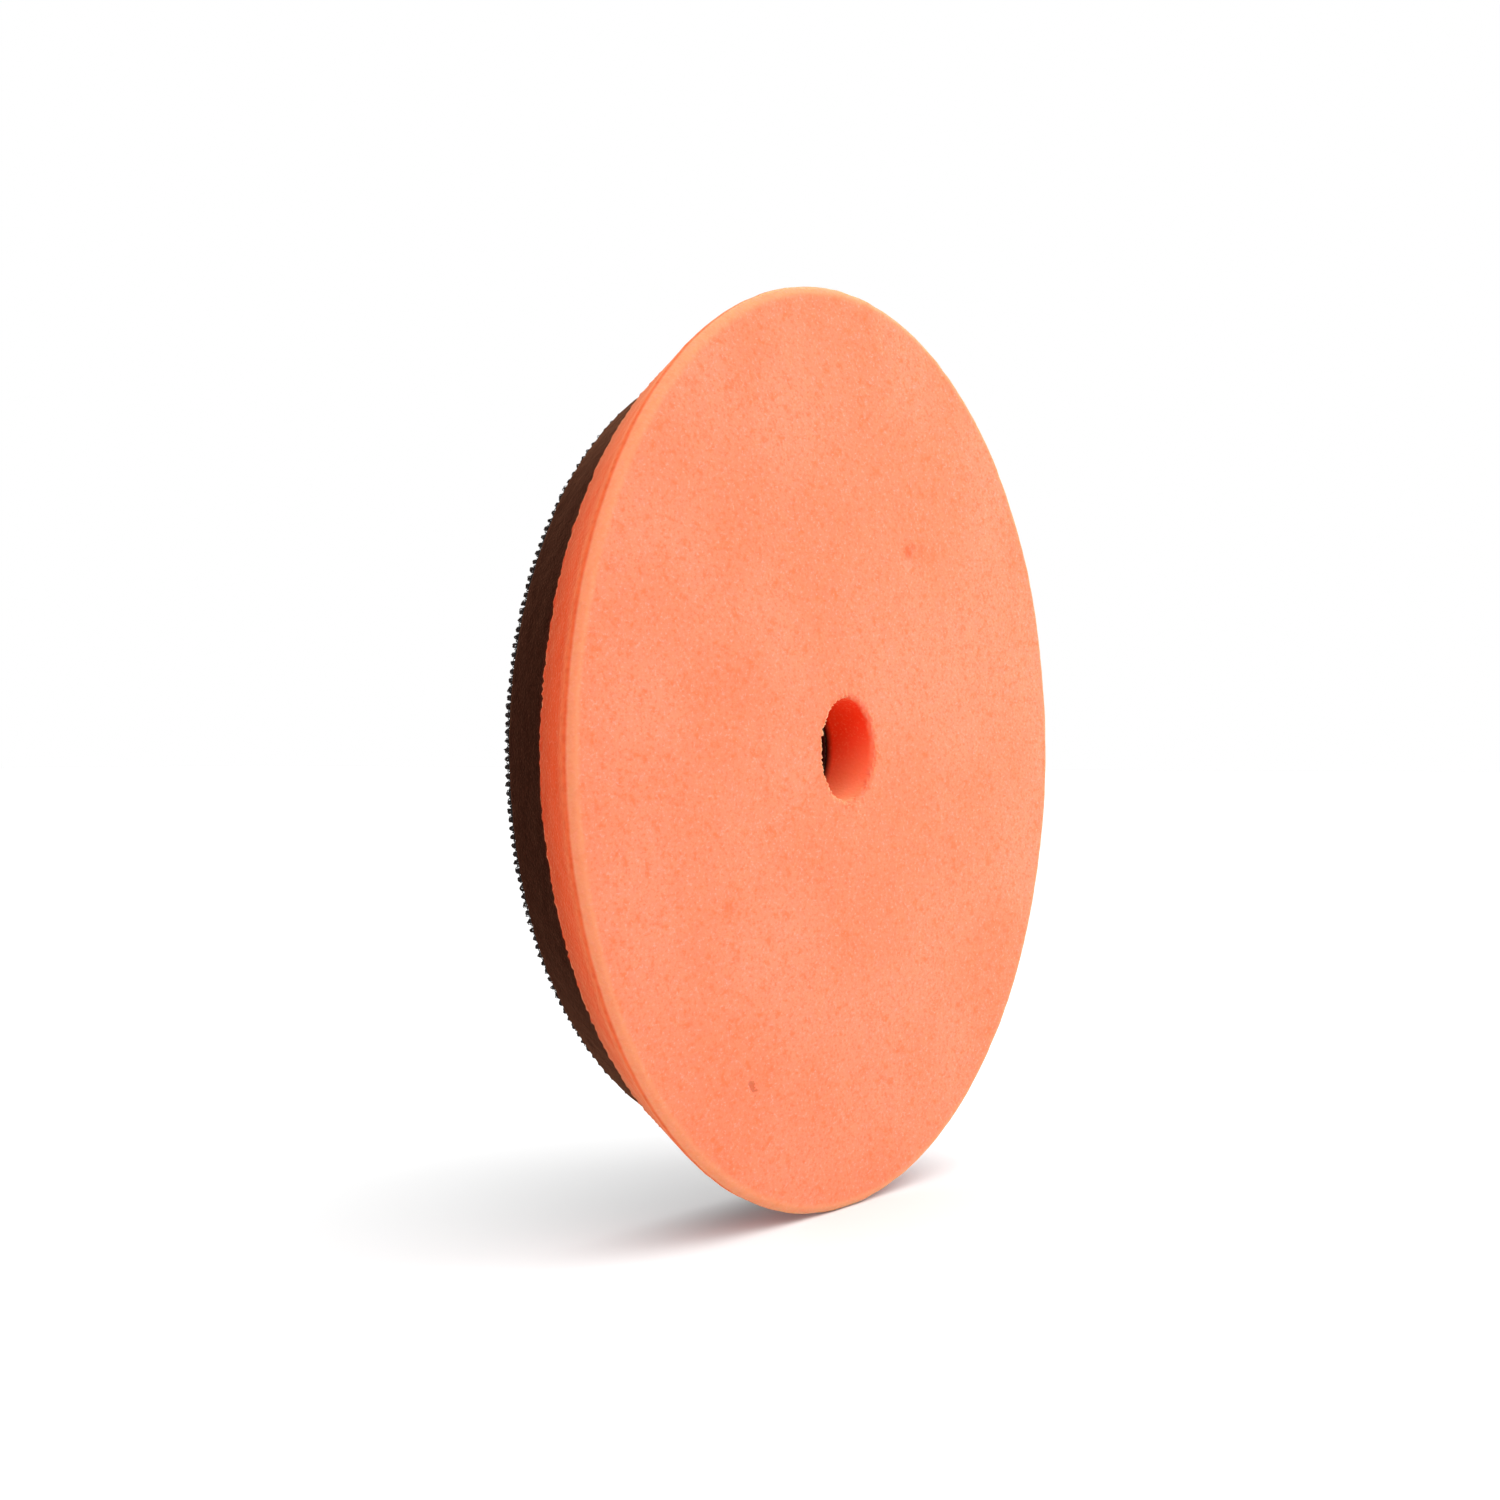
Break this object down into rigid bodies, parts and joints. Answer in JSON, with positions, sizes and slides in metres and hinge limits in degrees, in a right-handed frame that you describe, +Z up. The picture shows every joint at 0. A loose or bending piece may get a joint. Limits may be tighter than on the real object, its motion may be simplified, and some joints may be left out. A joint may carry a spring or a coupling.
{
  "type": "polishing pad",
  "caption": "Round tapered foam polishing pad: an orange working foam laminated to a dark interface foam, with a centre hole and a hook-and-loop back.",
  "frame": {"origin": "on the spin axis, in the plane of the loop tips", "axes": "+Y along the spin axis, out of the loop face towards the machine; the working face looks towards -Y; +Z up, so the pad stands on its rim"},
  "size_m": [0.165, 0.0242, 0.165],
  "materials": {
    "face_foam": "matte",
    "face_bond": "matte",
    "interface_foam": "matte",
    "loop_bond": "matte",
    "loop_backing": "matte",
    "loop_pile": "satin"
  },
  "bodies": {
    "root": {"face_foam": "face_foam", "face_bond": "face_bond", "interface_foam": "interface_foam", "loop_bond": "loop_bond", "loop_backing": "loop_backing", "loop_pile": "loop_pile"}
  },
  "joints": []
}
